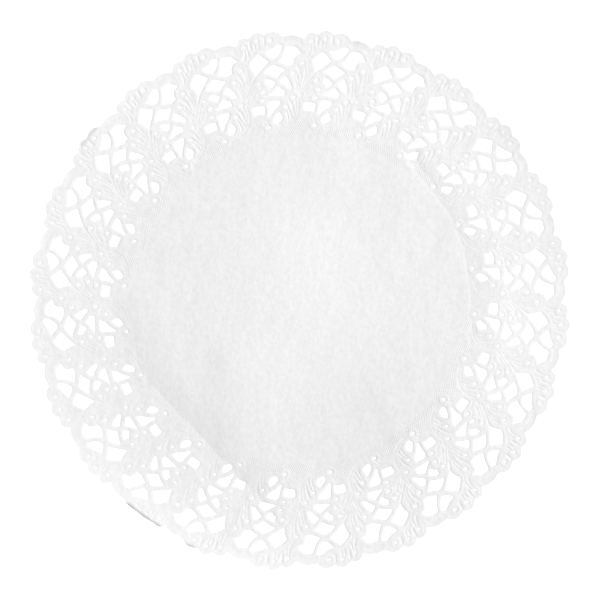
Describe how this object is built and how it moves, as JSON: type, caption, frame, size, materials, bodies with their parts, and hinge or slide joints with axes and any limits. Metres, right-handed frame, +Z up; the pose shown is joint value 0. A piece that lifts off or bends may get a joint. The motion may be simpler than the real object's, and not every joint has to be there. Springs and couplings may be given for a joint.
{
  "type": "paper lace doily",
  "caption": "Round die-cut and embossed paper lace doily with a plain middle, a border of leaves and open lattice, a scalloped rim, and one side of the rim lifted past a crease.",
  "frame": {"origin": "middle of the sheet, on the table under it", "axes": "+Z up out of the sheet's face, +Y towards the top of the sheet as pictured from above, +X towards its right"},
  "size_m": [0.3048, 0.304, 0.0063],
  "materials": {
    "paper": "matt uncoated white"
  },
  "bodies": {
    "root": {"doily": "paper"}
  },
  "joints": []
}
